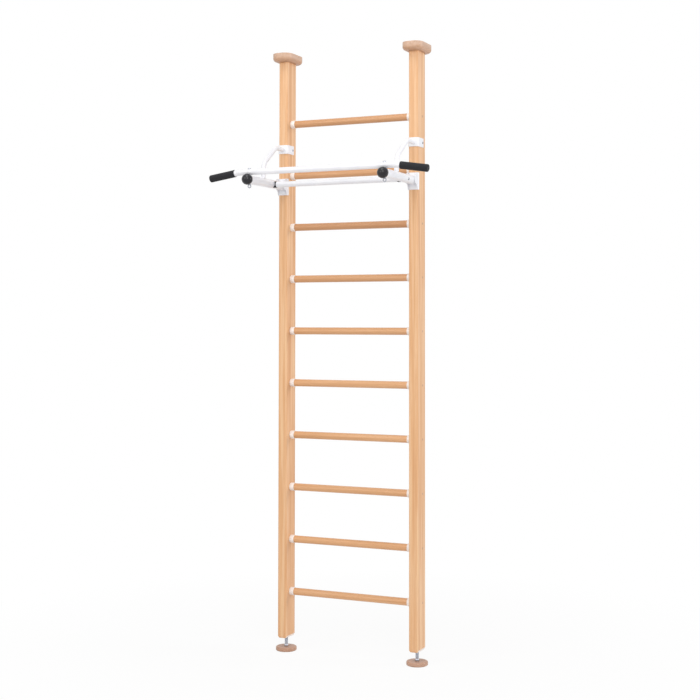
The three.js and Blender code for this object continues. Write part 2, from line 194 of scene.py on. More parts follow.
def planed_post(label, side):
    """Planes a post, rounds its long edges, chamfers its foot, and drills it from all sides."""
    low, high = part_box("post_" + label)
    middle = (low + high) / 2
    post = blank(low + Vector((0, 0, POST_END_CHAMFER)), high)
    pick_edges(post, lambda a, b: abs(a.z - b.z) > RUNG_PITCH)
    bpy.ops.mesh.bevel(offset=POST_EDGE, segments=8, affect="EDGES")
    bpy.ops.object.mode_set(mode="OBJECT")
    pick_faces(post, lambda centre, normal: normal.z < -0.9)
    bpy.ops.mesh.inset(thickness=POST_END_INSET, depth=POST_END_CHAMFER, use_even_offset=False)
    bpy.ops.object.mode_set(mode="OBJECT")
    rung = middle_of("rung_01")
    inner = middle.x - side * (high.x - low.x) / 2
    outer = middle.x + side * (high.x - low.x) / 2
    socket_end = (inner + side * SOCKET_DEPTH, rung.y, rung.z)
    socket_mouth = (inner - side * SOCKET_DEPTH, rung.y, rung.z)
    plug_end = (outer - side * PLUG_DEPTH, PLUG_SETBACK, rung.z)
    plug_mouth = (outer + side * PLUG_DEPTH, PLUG_SETBACK, rung.z)
    cut_with(post, row_of(round_blank(plug_mouth, plug_end, PLUG_RADIUS, facets=24)))
    cut_with(post, row_of(round_blank(socket_mouth, socket_end, SOCKET_RADIUS, facets=40)))
    for radius, depth in (BUSH_BORE, SCREW_BORE):
        cut_with(post, round_blank((middle.x, 0, 0), (middle.x, 0, depth), radius, facets=32))
    ease(post)
    return post


def srgb(code):
    """The linear colour of an sRGB hex value."""
    shares = [int(code[place:place + 2], 16) / 255 for place in (1, 3, 5)]
    linear = [s / 12.92 if s <= 0.04045 else ((s + 0.055) / 1.055) ** 2.4 for s in shares]
    return (*linear, 1.0)


def add_node(tree, kind, sockets, stops=(), **settings):
    """Adds a node. A socket takes a value or another node's output; stops fill a colour ramp."""
    node = tree.nodes.new(kind)
    for name, value in settings.items():
        setattr(node, name, value)
    for name, value in sockets.items():
        if isinstance(value, bpy.types.NodeSocket):
            tree.links.new(value, node.inputs[name])
        else:
            node.inputs[name].default_value = value
    if stops:
        ramp = node.color_ramp
        ramp.elements[0].position, ramp.elements[0].color = stops[0]
        ramp.elements[1].position, ramp.elements[1].color = stops[-1]
        for position, colour in stops[1:-1]:
            ramp.elements.new(position).color = colour
    return node


def new_material(name):
    """An empty node material."""
    material = bpy.data.materials.new(name)
    material.use_nodes = True
    material.node_tree.nodes.clear()
    return material


# Sockets of a colour Mix node: its share, its two colours and its result
SHARE, UNDER, OVER, MIXED = 0, 6, 7, 2


# Wood as it is planed and sanded: broad streaks of paler and darker sapwood, year rings that show
# as fine darker lines, and fibres that break up the shine. Streaks are about 14 mm wide, and the
# fibres are drawn at 2 mm, coarser than real ones, so that they show at this size. A batch tone
# darkens some pieces more than others. Below a height, and near the middle in Y, a tone of painted
# light is mixed in: painted reflection on the posts' side chamfers, painted shade on the pads' lower
# round.
def planed_wood(name, grain, tones, ring_tone, ring_spacing, ring_share, coat,
                foot=None, batch=None):
    material = new_material(name)
    tree = material.node_tree
    place = add_node(tree, "ShaderNodeTexCoord", {}).outputs["Object"]
    streak_scale = [1 / STREAK_WIDTH] * 3
    ring_scale = [1.0] * 3
    fibre_scale = [1 / FIBRE_WIDTH] * 3
    streak_scale[grain] = 1 / STREAK_LENGTH
    ring_scale[grain] = RING_STRETCH
    fibre_scale[grain] = 1 / FIBRE_LENGTH
    streak_place = add_node(tree, "ShaderNodeMapping", {"Vector": place, "Scale": streak_scale})
    streak = add_node(tree, "ShaderNodeTexNoise", {
        "Vector": streak_place.outputs[0], "Scale": 1.0, "Detail": 2.0, "Roughness": 0.5})
    tone = add_node(tree, "ShaderNodeValToRGB", {"Fac": streak.outputs["Fac"]}, stops=[
        (step, srgb(code)) for step, code in zip((0.30, 0.46, 0.60, 0.74), tones)])
    ring_place = add_node(tree, "ShaderNodeMapping", {
        "Vector": place, "Location": LOG_HEART, "Scale": ring_scale})
    rings = add_node(tree, "ShaderNodeTexWave", {
        "Vector": ring_place.outputs[0], "Scale": WAVE_SPACING / ring_spacing, "Distortion": 5.0,
        "Detail": 2.0, "Detail Scale": 0.35}, wave_type="RINGS", rings_direction="XYZ"[grain])
    late_wood = add_node(tree, "ShaderNodeMapRange", {
        "Value": rings.outputs["Fac"], "From Min": 0.62, "From Max": 1.0, "To Min": 0.0,
        "To Max": ring_share})
    ringed = add_node(tree, "ShaderNodeMix", {
        SHARE: late_wood.outputs[0], UNDER: tone.outputs["Color"], OVER: srgb(ring_tone)},
        data_type="RGBA")
    fibre_place = add_node(tree, "ShaderNodeMapping", {"Vector": place, "Scale": fibre_scale})
    fibre = add_node(tree, "ShaderNodeTexNoise", {
        "Vector": fibre_place.outputs[0], "Scale": 1.0, "Detail": 3.0, "Roughness": 0.6})
    fibre_shade = add_node(tree, "ShaderNodeMapRange", {
        "Value": fibre.outputs["Fac"], "From Min": 0.45, "From Max": 0.75,
        "To Min": 0.0, "To Max": 0.35})
    colour = add_node(tree, "ShaderNodeMix", {
        SHARE: fibre_shade.outputs[0], UNDER: ringed.outputs[MIXED], OVER: srgb(ring_tone)},
        data_type="RGBA")
    if batch:
        reach, batch_tone = batch
        batch_place = add_node(tree, "ShaderNodeMapping", {
            "Vector": place, "Location": BATCH_START, "Scale": (0, 0, 1 / reach)})
        batch_noise = add_node(tree, "ShaderNodeTexNoise", {
            "Vector": batch_place.outputs[0], "Scale": 1.0, "Detail": 0.0})
        batch_share = add_node(tree, "ShaderNodeMapRange", {
            "Value": batch_noise.outputs["Fac"], "From Min": 0.40, "From Max": 0.70,
            "To Min": 0.0, "To Max": 0.6})
        colour = add_node(tree, "ShaderNodeMix", {
            SHARE: batch_share.outputs[0], UNDER: colour.outputs[MIXED], OVER: srgb(batch_tone)},
            data_type="RGBA")
    # Painted light: below the height, and within the flank of the middle in Y, the colour is mixed
    # towards a tone that stands in for light or shade there.
    if foot:
        height, fade, flank, share, painted_light_tone = foot
        split = add_node(tree, "ShaderNodeSeparateXYZ", {"Vector": place})
        off_middle = add_node(tree, "ShaderNodeMath", {0: split.outputs["Y"]}, operation="ABSOLUTE")
        flank_share = add_node(tree, "ShaderNodeMapRange", {
            "Value": off_middle.outputs[0], "From Min": flank - FLANK_FADE, "From Max": flank,
            "To Min": share, "To Max": 0.0})
        painted_light_share = add_node(tree, "ShaderNodeMapRange", {
            "Value": split.outputs["Z"], "From Min": height, "From Max": height + fade,
            "To Min": flank_share.outputs[0], "To Max": 0.0})
        colour = add_node(tree, "ShaderNodeMix", {
            SHARE: painted_light_share.outputs[0], UNDER: colour.outputs[MIXED], OVER: srgb(painted_light_tone)},
            data_type="RGBA")
    roughness = add_node(tree, "ShaderNodeMapRange", {
        "Value": fibre.outputs["Fac"], "From Min": 0.3, "From Max": 0.7,
        "To Min": 0.40, "To Max": 0.54})
    relief = add_node(tree, "ShaderNodeBump", {
        "Height": fibre.outputs["Fac"], "Strength": 0.12, "Distance": 0.0004})
    surface = add_node(tree, "ShaderNodeBsdfPrincipled", {
        "Base Color": colour.outputs[MIXED], "Roughness": roughness.outputs[0],
        "Normal": relief.outputs["Normal"], "IOR": 1.5, "Coat Weight": coat, "Coat Roughness": 0.25})
    add_node(tree, "ShaderNodeOutputMaterial", {"Surface": surface.outputs["BSDF"]})
    return material


# The near-white tone below 66 mm, on the side chamfers only, is a painted reflection of the floor.
lacquered_pine = planed_wood(
    "lacquered_pine", grain=2, tones=("#E0A876", "#EAB685", "#F4C89C", "#F8CE9C"),
    ring_tone="#D59A68", ring_spacing=0.0055, ring_share=0.38, coat=0.10,
    foot=(0.0660, 0.0015, 0.0385, 0.9, "#F6ECE4"))
for label, side in SIDES:
    post = planed_post(label, side)
    hand_over(post, label + "_post", lacquered_pine, "post_pine", "frame", "post_" + label)

# Rung plugs
# Short beech pegs glued into the holes over the screws that hold each rung end. They are
# sanded to a low crown that stands just proud of the post.
PLUG_PROFILE = (
    (0.0044, 0.0001), (0.0049, 0.0006), (0.0049, 0.0036), (0.0046, 0.0040), (0.0030, 0.0043),
    (0.0008, 0.0044))
MERGE_REACH = 0.000001


def turned(profile, facets, joined=False):
    """Turns a piece about Z through rings of (radius, height); a joined profile closes on itself."""
    bpy.ops.object.select_all(action="DESELECT")
    radius, height = profile[0]
    bpy.ops.mesh.primitive_circle_add(vertices=facets, radius=radius, location=(0, 0, height))
    piece = bpy.context.active_object
    settle(piece)
    bpy.ops.object.mode_set(mode="EDIT")
    bpy.ops.mesh.select_mode(type="EDGE")
    bpy.ops.mesh.select_all(action="SELECT")
    rings = list(profile[1:])
    if joined:
        rings.append(profile[0])
    for next_radius, next_height in rings:
        bpy.ops.mesh.extrude_region_move(
            TRANSFORM_OT_translate={"value": (0, 0, next_height - height)})
        grow = next_radius / radius
        bpy.ops.transform.resize(value=(grow, grow, 1), center_override=(0, 0, next_height))
        radius, height = next_radius, next_height
    bpy.ops.mesh.select_all(action="SELECT")
    if joined:
        bpy.ops.mesh.remove_doubles(threshold=MERGE_REACH)
    else:
        bpy.ops.mesh.fill_holes(sides=0)
    bpy.ops.mesh.normals_make_consistent(inside=False)
    bpy.ops.object.mode_set(mode="OBJECT")
    return piece


def lay(piece, place, direction):
    """Sets a turned piece's foot at a place, with its axis along a direction."""
    piece.rotation_euler = Vector(direction).to_track_quat("Z", "Y").to_euler()
    piece.location = place
    settle(piece)


sanded_plug = planed_wood(
    "sanded_beech_plug", grain=2, tones=("#C4987A", "#CEA284", "#D6AB8D", "#DCB296"),
    ring_tone="#AC8162", ring_spacing=0.0020, ring_share=0.5, coat=0.15)
for label, side in SIDES:
    low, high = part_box("post_" + label)
    hole_end = (low.x if side < 0 else high.x) - side * PLUG_DEPTH
    plug = turned(PLUG_PROFILE, facets=24)
    lay(plug, (hole_end, PLUG_SETBACK, middle_of("rung_01").z), (side, 0, 0))
    ease(plug)
    for number in range(RUNG_COUNT):
        peg = copy_of(plug, (0, 0, number * RUNG_PITCH))
        hand_over(peg, "%s_plug_%02d" % (label, number + 1), sanded_plug, "rung_beech", "frame")
    bpy.data.objects.remove(plug)

# Rungs
# Ten turned beech dowels with eased ends, glued into the sockets of both posts and lacquered. Some
# come from darker boards than others.
RUNG_RADIUS = 0.015
RUNG_EASE = 0.0012

low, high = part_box("rung_01")
rung_length = high.x - low.x
dowel = turned((
    (RUNG_RADIUS - RUNG_EASE, 0), (RUNG_RADIUS, RUNG_EASE),
    (RUNG_RADIUS, rung_length - RUNG_EASE), (RUNG_RADIUS - RUNG_EASE, rung_length)), facets=48)
lay(dowel, (low.x, middle_of("rung_01").y, middle_of("rung_01").z), (1, 0, 0))
ease(dowel)
lacquered_beech = planed_wood(
    "lacquered_beech", grain=0, tones=("#D69F6E", "#E2AB7A", "#E8B484", "#EDBB8E"),
    ring_tone="#C48D5E", ring_spacing=0.0040, ring_share=0.35, coat=0.20,
    batch=(0.15, "#BA8258"))
for number in range(RUNG_COUNT):
    rung = copy_of(dowel, (0, 0, number * RUNG_PITCH))
    node = "rung_%02d" % (number + 1)
    hand_over(rung, "beech_" + node, lacquered_beech, "rung_beech", "frame", node)
bpy.data.objects.remove(dowel)

# Collars
# White moulded sleeves pushed over the rung ends up to the posts, which hide the gap at the
# sockets. The free rim is rounded and thins down onto the rung.
COLLAR_PROFILE = (
    (0.0153, 0), (0.0166, 0), (0.0170, 0.0004), (0.0170, 0.0164), (0.0168, 0.0177),
    (0.0163, 0.0186), (0.0157, 0.0190), (0.0153, 0.0188))


# Moulded polypropylene: a warm white, faintly cloudy, with a satin shine and a skin that is very
# slightly uneven. The clouds are about 20 mm wide and the unevenness 1.5 mm.
def white_polypropylene():
    material = new_material("white_polypropylene")
    tree = material.node_tree
    place = add_node(tree, "ShaderNodeTexCoord", {}).outputs["Object"]
    clouds = add_node(tree, "ShaderNodeTexNoise", {
        "Vector": place, "Scale": 1 / 0.020, "Detail": 2.0})
    tone = add_node(tree, "ShaderNodeValToRGB", {"Fac": clouds.outputs["Fac"]}, stops=[
        (0.3, srgb("#F4EDE9")), (0.7, srgb("#FBF6F3"))])
    skin = add_node(tree, "ShaderNodeTexNoise", {
        "Vector": place, "Scale": 1 / 0.0015, "Detail": 1.0})
    roughness = add_node(tree, "ShaderNodeMapRange", {
        "Value": skin.outputs["Fac"], "To Min": 0.32, "To Max": 0.46})
    relief = add_node(tree, "ShaderNodeBump", {
        "Height": skin.outputs["Fac"], "Strength": 0.05, "Distance": 0.0003})
    surface = add_node(tree, "ShaderNodeBsdfPrincipled", {
        "Base Color": tone.outputs["Color"], "Roughness": roughness.outputs[0],
        "Normal": relief.outputs["Normal"], "IOR": 1.49})
    add_node(tree, "ShaderNodeOutputMaterial", {"Surface": surface.outputs["BSDF"]})
    return material


collar_plastic = white_polypropylene()
for label, side in SIDES:
    low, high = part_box("collar_%s_01" % label)
    sleeve = turned(COLLAR_PROFILE, facets=40, joined=True)
    seat = middle_of("rung_01")
    seat.x = low.x if side < 0 else high.x
    lay(sleeve, seat, (-side, 0, 0))
    ease(sleeve)
    for number in range(RUNG_COUNT):
        collar = copy_of(sleeve, (0, 0, number * RUNG_PITCH))
        code = "%02d" % (number + 1)
        hand_over(collar, "%s_sleeve_%s" % (label, code), collar_plastic, "collar_plastic", "frame",
                  "collar_%s_%s" % (label, code))
    bpy.data.objects.remove(sleeve)

# Ceiling pads
# Oblong pine boards with round corners and a round lower edge that press against the ceiling. Each
# is fixed to its post end by two countersunk steel screws, oiled rather than lacquered.
PAD_CORNER = 0.037
PAD_EDGE = 0.015
PAD_RIM = 0.0015
PAD_SCREW_SPACING = 0.044
PAD_HOLE_RADIUS = 0.0035
PAD_SINK_RADIUS = 0.007
PAD_SINK = PAD_SINK_RADIUS - PAD_HOLE_RADIUS
PAD_SHANK = ((0.0012, -0.060), (0.0026, -0.052), (0.0028, -0.008), (0.0028, -PAD_SINK - 0.0004))
PAD_HEAD_GAP = 0.0006
PAD_HEAD_TOP = -0.0003
CROSS_WIDTH = 0.0014
CROSS_REACH = 0.0036
CROSS_DEPTH = 0.0022


def eased_pad(label):
    """Rounds a board's corners and lower edge, breaks its upper rim and drills its screw holes."""
    low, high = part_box("ceiling_pad_" + label)
    middle = (low + high) / 2
    pad = blank(low, high)
    pick_edges(pad, lambda a, b: abs(a.z - b.z) > PAD_RIM)
    bpy.ops.mesh.bevel(offset=PAD_CORNER, segments=14, affect="EDGES")
    bpy.ops.object.mode_set(mode="OBJECT")
    pick_edges(pad, lambda a, b: max(a.z, b.z) < middle.z)
    bpy.ops.mesh.bevel(offset=PAD_EDGE, segments=8, affect="EDGES")
    bpy.ops.object.mode_set(mode="OBJECT")
    pick_edges(pad, lambda a, b: min(a.z, b.z) > high.z - PAD_RIM)
    bpy.ops.mesh.bevel(offset=PAD_RIM, segments=3, affect="EDGES")
    bpy.ops.object.mode_set(mode="OBJECT")
    thick = high.z - low.z
    for end in (-1, 1):
        drill = turned((
            (PAD_HOLE_RADIUS, -PAD_EDGE), (PAD_HOLE_RADIUS, thick - PAD_SINK),
            (PAD_SINK_RADIUS, thick), (PAD_SINK_RADIUS, thick + PAD_EDGE)), facets=32)
        lay(drill, (middle.x, middle.y + end * PAD_SCREW_SPACING / 2, low.z), (0, 0, 1))
        cut_with(pad, drill)
    ease(pad)
    return pad


def cross_cut(head, top):
    """Cuts a cross recess into the top of a screw head that stands on the Z axis."""
    seat = Vector((0, 0, top))
    for reach_x, reach_y in ((CROSS_REACH, CROSS_WIDTH / 2), (CROSS_WIDTH / 2, CROSS_REACH)):
        reach = Vector((reach_x, reach_y, CROSS_DEPTH))
        cut_with(head, blank(seat - reach, seat + reach))


# Zinc-plated steel: a cool grey metal with a faint spangle of lighter and darker patches about
# 3 mm wide, under a haze about 8 mm wide that is duller where the plating is thick.
def zinc_plated_steel():
    material = new_material("zinc_plated_steel")
    tree = material.node_tree
    place = add_node(tree, "ShaderNodeTexCoord", {}).outputs["Object"]
    spangle = add_node(tree, "ShaderNodeTexVoronoi", {"Vector": place, "Scale": 1 / 0.003})
    haze = add_node(tree, "ShaderNodeTexNoise", {"Vector": place, "Scale": 1 / 0.008, "Detail": 3.0})
    blend = add_node(tree, "ShaderNodeMath", {
        0: spangle.outputs["Distance"], 1: haze.outputs["Fac"]}, operation="MULTIPLY")
    tone = add_node(tree, "ShaderNodeValToRGB", {"Fac": blend.outputs[0]}, stops=[
        (0.05, srgb("#9699A2")), (0.45, srgb("#C0C3CB"))])
    roughness = add_node(tree, "ShaderNodeMapRange", {
        "Value": haze.outputs["Fac"], "From Min": 0.3, "From Max": 0.7,
        "To Min": 0.26, "To Max": 0.42})
    surface = add_node(tree, "ShaderNodeBsdfPrincipled", {
        "Base Color": tone.outputs["Color"], "Roughness": roughness.outputs[0], "Metallic": 1.0})
    add_node(tree, "ShaderNodeOutputMaterial", {"Surface": surface.outputs["BSDF"]})
    return material


# The darker, warmer tone below 2.503 m is painted shade on the pads' downward-facing lower round.
oiled_pine = planed_wood(
    "oiled_pine", grain=1, tones=("#CAA58C", "#D5B198", "#DBB8A1", "#E0BEA8"),
    ring_tone="#BD9778", ring_spacing=0.0060, ring_share=0.45, coat=0.10,
    foot=(2.503, 0.012, 1.0, 0.45, "#C08A5E"))
zinc_steel = zinc_plated_steel()
for label, _ in SIDES:
    hand_over(eased_pad(label), label + "_ceiling_pad", oiled_pine, "pad_pine", "frame",
              "ceiling_pad_" + label)
    low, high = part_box("ceiling_pad_" + label)
    head_radius = PAD_SINK_RADIUS - PAD_HEAD_GAP
    for number, end in enumerate((-1, 1), start=1):
        screw = turned((
            *PAD_SHANK, (head_radius, -PAD_HEAD_GAP), (head_radius, PAD_HEAD_TOP)), facets=32)
        cross_cut(screw, PAD_HEAD_TOP)
        lay(screw, ((low.x + high.x) / 2, end * PAD_SCREW_SPACING / 2, high.z), (0, 0, 1))
        ease(screw)
        hand_over(screw, "%s_pad_screw_%d" % (label, number), zinc_steel, "zinc_steel", "frame")

# Screw feet
# A steel bush is driven into each post end; its hidden bore is left plain here. A ball-ended screw
# turns in it and presses a round pine disc onto the floor. The ball sits in a cup in the disc's top.
BUSH_CHAMFER = 0.001
SCREW_CORE = 0.0061
SCREW_CHAMFER = 0.001
THREAD_PITCH = 0.002
THREAD_DEPTH = 0.0009
THREAD_STEPS = 24
BALL_RADIUS = 0.0085
BALL_HEIGHT = 0.0203
NECK_HEIGHT = BALL_HEIGHT + 0.0062
THREAD_START = BALL_HEIGHT + 0.0085
DISC_EDGE = 0.005
DISC_POLE = 0.004
CUP_RADIUS = 0.0088
CUP_RIM = 0.0008


def arc(radius, level, start, end, steps):
    """Rings of (radius, height) along part of a circle, by its angles in degrees."""
    angles = [math.radians(start + (end - start) * step / steps) for step in range(steps + 1)]
    return [(radius * math.cos(angle), level + radius * math.sin(angle)) for angle in angles]


def weld(piece, *others):
    """Joins pieces into one object."""
    take_up(piece)
    for other in others:
        other.select_set(True)
    bpy.ops.object.join()
    return piece


def threaded_screw(label):
    """Turns the ball and the core of a foot screw, and winds a ridge round the core as its thread."""
    place = middle_of("foot_screw_" + label)
    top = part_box("foot_screw_" + label)[1].z
    core = turned((
        *arc(BALL_RADIUS, BALL_HEIGHT, -86, 42, 16), (SCREW_CORE, NECK_HEIGHT),
        (SCREW_CORE, top - SCREW_CHAMFER), (SCREW_CORE - SCREW_CHAMFER, top)), facets=40)
    bpy.ops.object.select_all(action="DESELECT")
    bpy.ops.mesh.primitive_circle_add(
        vertices=3, radius=THREAD_DEPTH, rotation=(math.pi / 2, 0, -math.pi / 2))
    ridge = bpy.context.active_object
    settle(ridge)
    ridge.rotation_euler = (0, math.pi / 2, 0)
    settle(ridge)
    reach = max(point.co.x for point in ridge.data.vertices)
    ridge.location = (SCREW_CORE + THREAD_DEPTH - reach, 0, THREAD_START)
    settle(ridge)
    helix = ridge.modifiers.new("helix", "SCREW")
    helix.axis = "Z"
    helix.angle = math.tau
    helix.screw_offset = THREAD_PITCH
    helix.iterations = int((top - THREAD_PITCH - THREAD_START) / THREAD_PITCH)
    helix.steps = THREAD_STEPS
    helix.render_steps = THREAD_STEPS
    apply_all(ridge)
    bpy.ops.object.mode_set(mode="EDIT")
    bpy.ops.mesh.select_mode(type="EDGE")
    bpy.ops.mesh.select_all(action="SELECT")
    bpy.ops.mesh.fill_holes(sides=4)
    bpy.ops.mesh.normals_make_consistent(inside=False)
    bpy.ops.object.mode_set(mode="OBJECT")
    weld(core, ridge)
    core.location = (place.x, place.y, 0)
    settle(core)
    ease(core, degrees=40)
    return core


def cupped_disc(label):
    """Turns a foot disc with rounded edges and a cup for the ball in its top."""
    low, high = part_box("foot_disc_" + label)
    place = (low + high) / 2
    radius = (high.x - low.x) / 2
    thick = high.z - low.z
    mouth = math.degrees(math.asin((thick - BALL_HEIGHT) / CUP_RADIUS))
    disc = turned((
        (DISC_POLE, 0), (radius - DISC_EDGE, 0),
        *[(radius - DISC_EDGE + r, z) for r, z in arc(DISC_EDGE, DISC_EDGE, -72, 0, 4)],
        *[(radius - DISC_EDGE + r, z) for r, z in arc(DISC_EDGE, thick - DISC_EDGE, 0, 90, 5)],
        (CUP_RADIUS * math.cos(math.radians(mouth)) + CUP_RIM, thick),
        *arc(CUP_RADIUS, BALL_HEIGHT, mouth - 4, -84, 8)), facets=72)
    disc.location = (place.x, place.y, low.z)
    settle(disc)
    ease(disc)
    return disc


oiled_disc = planed_wood(
    "oiled_pine_disc", grain=0, tones=("#B68C73", "#C19981", "#C9A18A", "#CFA891"),
    ring_tone="#A97E63", ring_spacing=0.0060, ring_share=0.45, coat=0.10)
for label, _ in SIDES:
    low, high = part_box("foot_insert_" + label)
    place = middle_of("foot_insert_" + label)
    outer = (high.x - low.x) / 2
    bush = turned((
        (SCREW_BORE[0], 0), (outer - BUSH_CHAMFER, 0), (outer, BUSH_CHAMFER),
        (outer, high.z - low.z), (SCREW_BORE[0], high.z - low.z)), facets=40, joined=True)
    lay(bush, (place.x, place.y, low.z), (0, 0, 1))
    ease(bush)
    hand_over(bush, label + "_threaded_bush", zinc_steel, "zinc_steel", "frame",
              "foot_insert_" + label)
    hand_over(threaded_screw(label), label + "_ball_screw", zinc_steel, "zinc_steel",
              "screw_" + label, "foot_screw_" + label)
    hand_over(cupped_disc(label), label + "_floor_disc", oiled_disc, "foot_pine",
              "foot_" + label, "foot_disc_" + label)

# Brackets
# Steel sheet folded round the front of each post, with two cheeks welded on that hold the arm
# between them, powder coated white. Their lower edges sweep down to the foot of the plate.
SHEET = 0.003
SHEET_SEAT = 0.0003
SHEET_RIM = 0.0005
SHEET_FOLD = 0.0113
SHEET_WASTE = 0.01
SHEET_DOT = 0.001
CHEEK_GAP = 0.0183
CHEEK_REACH = 0.0235
CHEEK_ROOT = 0.0040
CHEEK_TOP = 0.031
CHEEK_SHOULDER = 0.012
CHEEK_WAIST = -0.014
CHEEK_FOOT = -0.039


def ease_rim(sheet):
    """Takes the sharpness off the cut edges of sheet steel."""
    rim = sheet.modifiers.new("rim", "BEVEL")
    rim.width = SHEET_RIM
    rim.segments = 2
    rim.limit_method = "ANGLE"
    rim.angle_limit = math.radians(50)
    apply_all(sheet)


def folded_sheet(label, low, high):
    """Folds sheet steel round the front of a post, between two heights and back to a rear edge."""
    post_low, post_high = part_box("post_" + label)
    reach = Vector((SHEET + SHEET_SEAT, SHEET + SHEET_SEAT, 0))
    near = Vector((post_low.x, post_low.y, low.z))
    far = Vector((post_high.x, post_high.y, high.z))
    sheet = blank(near - reach, far + reach)
    pick_faces(sheet, lambda centre, normal: normal.y > 0.9 or abs(normal.z) > 0.9)
    bpy.ops.mesh.delete(type="FACE")
    bpy.ops.object.mode_set(mode="OBJECT")
    pick_edges(sheet, lambda a, b: abs(a.z - b.z) > SHEET and max(a.y, b.y) < post_low.y)
    bpy.ops.mesh.bevel(offset=SHEET_FOLD, segments=8, affect="EDGES")
    bpy.ops.object.mode_set(mode="OBJECT")
    wall = sheet.modifiers.new("wall", "SOLIDIFY")
    wall.thickness = SHEET
    wall.offset = -1
    wall.use_even_offset = True
    apply_all(sheet)
    cut_with(sheet, blank(
        Vector((post_low.x, high.y, low.z)) - Vector((SHEET_WASTE, 0, SHEET_WASTE)),
        far + Vector((SHEET_WASTE, SHEET_WASTE, SHEET_WASTE))))
    ease_rim(sheet)
    return sheet


def sheared_sheet(outline, thickness):
    """Cuts a flat sheet to an outline, drawn round from one point, filled and thickened."""
    bpy.ops.object.select_all(action="DESELECT")
    bpy.ops.mesh.primitive_plane_add(size=SHEET_DOT, location=outline[0])
    sheet = bpy.context.active_object
    settle(sheet)
    bpy.ops.object.mode_set(mode="EDIT")
    bpy.ops.mesh.select_mode(type="VERT")
    bpy.ops.mesh.select_all(action="SELECT")
    bpy.ops.mesh.merge(type="CENTER")
    for here, there in zip(outline, outline[1:]):
        bpy.ops.mesh.extrude_vertices_move(TRANSFORM_OT_translate={"value": there - here})
    bpy.ops.mesh.select_all(action="SELECT")
    bpy.ops.mesh.edge_face_add()
    bpy.ops.mesh.extrude_region_move(TRANSFORM_OT_translate={"value": thickness})
    bpy.ops.mesh.select_all(action="SELECT")
    bpy.ops.mesh.normals_make_consistent(inside=False)
    bpy.ops.object.mode_set(mode="OBJECT")
    ease_rim(sheet)
    return sheet


def sweep(start, control, end, steps):
    """Points along a curve that leaves start towards control and arrives at end from it."""
    shares = [step / steps for step in range(steps + 1)]
    corners = list(zip(start, control, end))
    return [[(1 - t) ** 2 * a + 2 * t * (1 - t) * b + t * t * c for a, b, c in corners] for t in shares]


def cheeked_bracket(label):
    """Folds a bracket's plate and welds two swept cheeks to its front."""
    low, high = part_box("arm_bracket_" + label)
    arm = middle_of("arm_" + label)
    front = low.y + CHEEK_REACH
    bracket = folded_sheet(label, low, high)
    profile = [
        *sweep((0, CHEEK_TOP), (CHEEK_REACH, CHEEK_TOP), (CHEEK_REACH, CHEEK_SHOULDER), 14),
        *sweep((CHEEK_REACH, CHEEK_WAIST), (CHEEK_REACH / 4, CHEEK_WAIST), (0, CHEEK_FOOT), 14),
        (-CHEEK_ROOT, CHEEK_FOOT), (-CHEEK_ROOT, CHEEK_TOP)]
    for flank in (-1, 1):
        inner_face = arm.x + flank * CHEEK_GAP
        outline = [Vector((inner_face, front - reach, arm.z + rise)) for reach, rise in profile]
        weld(bracket, sheared_sheet(outline, (flank * SHEET, 0, 0)))
    ease(bracket)
    return bracket


# White powder coat: sprayed and baked, slightly cool, with soft grey clouds about 60 mm wide and
# a fine orange peel, drawn at 2 mm so that it breaks up the highlights.
def white_powder_coat():
    material = new_material("white_powder_coat")
    tree = material.node_tree
    place = add_node(tree, "ShaderNodeTexCoord", {}).outputs["Object"]
    clouds = add_node(tree, "ShaderNodeTexNoise", {"Vector": place, "Scale": 1 / 0.060, "Detail": 3.0})
    tone = add_node(tree, "ShaderNodeValToRGB", {"Fac": clouds.outputs["Fac"]}, stops=[
        (0.3, srgb("#EEEEF4")), (0.7, srgb("#F7F7FA"))])
    peel = add_node(tree, "ShaderNodeTexNoise", {"Vector": place, "Scale": 1 / 0.002, "Detail": 1.0})
    roughness = add_node(tree, "ShaderNodeMapRange", {
        "Value": peel.outputs["Fac"], "From Min": 0.3, "From Max": 0.7,
        "To Min": 0.26, "To Max": 0.38})
    relief = add_node(tree, "ShaderNodeBump", {
        "Height": peel.outputs["Fac"], "Strength": 0.08, "Distance": 0.0003})
    surface = add_node(tree, "ShaderNodeBsdfPrincipled", {
        "Base Color": tone.outputs["Color"], "Roughness": roughness.outputs[0],
        "Normal": relief.outputs["Normal"], "IOR": 1.5})
    add_node(tree, "ShaderNodeOutputMaterial", {"Surface": surface.outputs["BSDF"]})
    return material


white_paint = white_powder_coat()
for label, _ in SIDES:
    hand_over(cheeked_bracket(label), label + "_bracket", white_paint, "white_paint", "frame",
              "arm_bracket_" + label)

# Arms
# White steel tubes that reach forward from the brackets, welded all round where they meet the
# plate. A black ball cap is pushed onto the front end of each.
ARM_RADIUS = 0.018
ARM_WALL = 0.003
ARM_RIM = 0.0005
BEAD_RADIUS = 0.0018
BEAD_RIPPLE = 0.0005
BEAD_SEED = 7
CAP_RADIUS = 0.0225
CAP_SKIRT = 0.010
CAP_BORE = 0.0183
CAP_SEAT = 0.0003


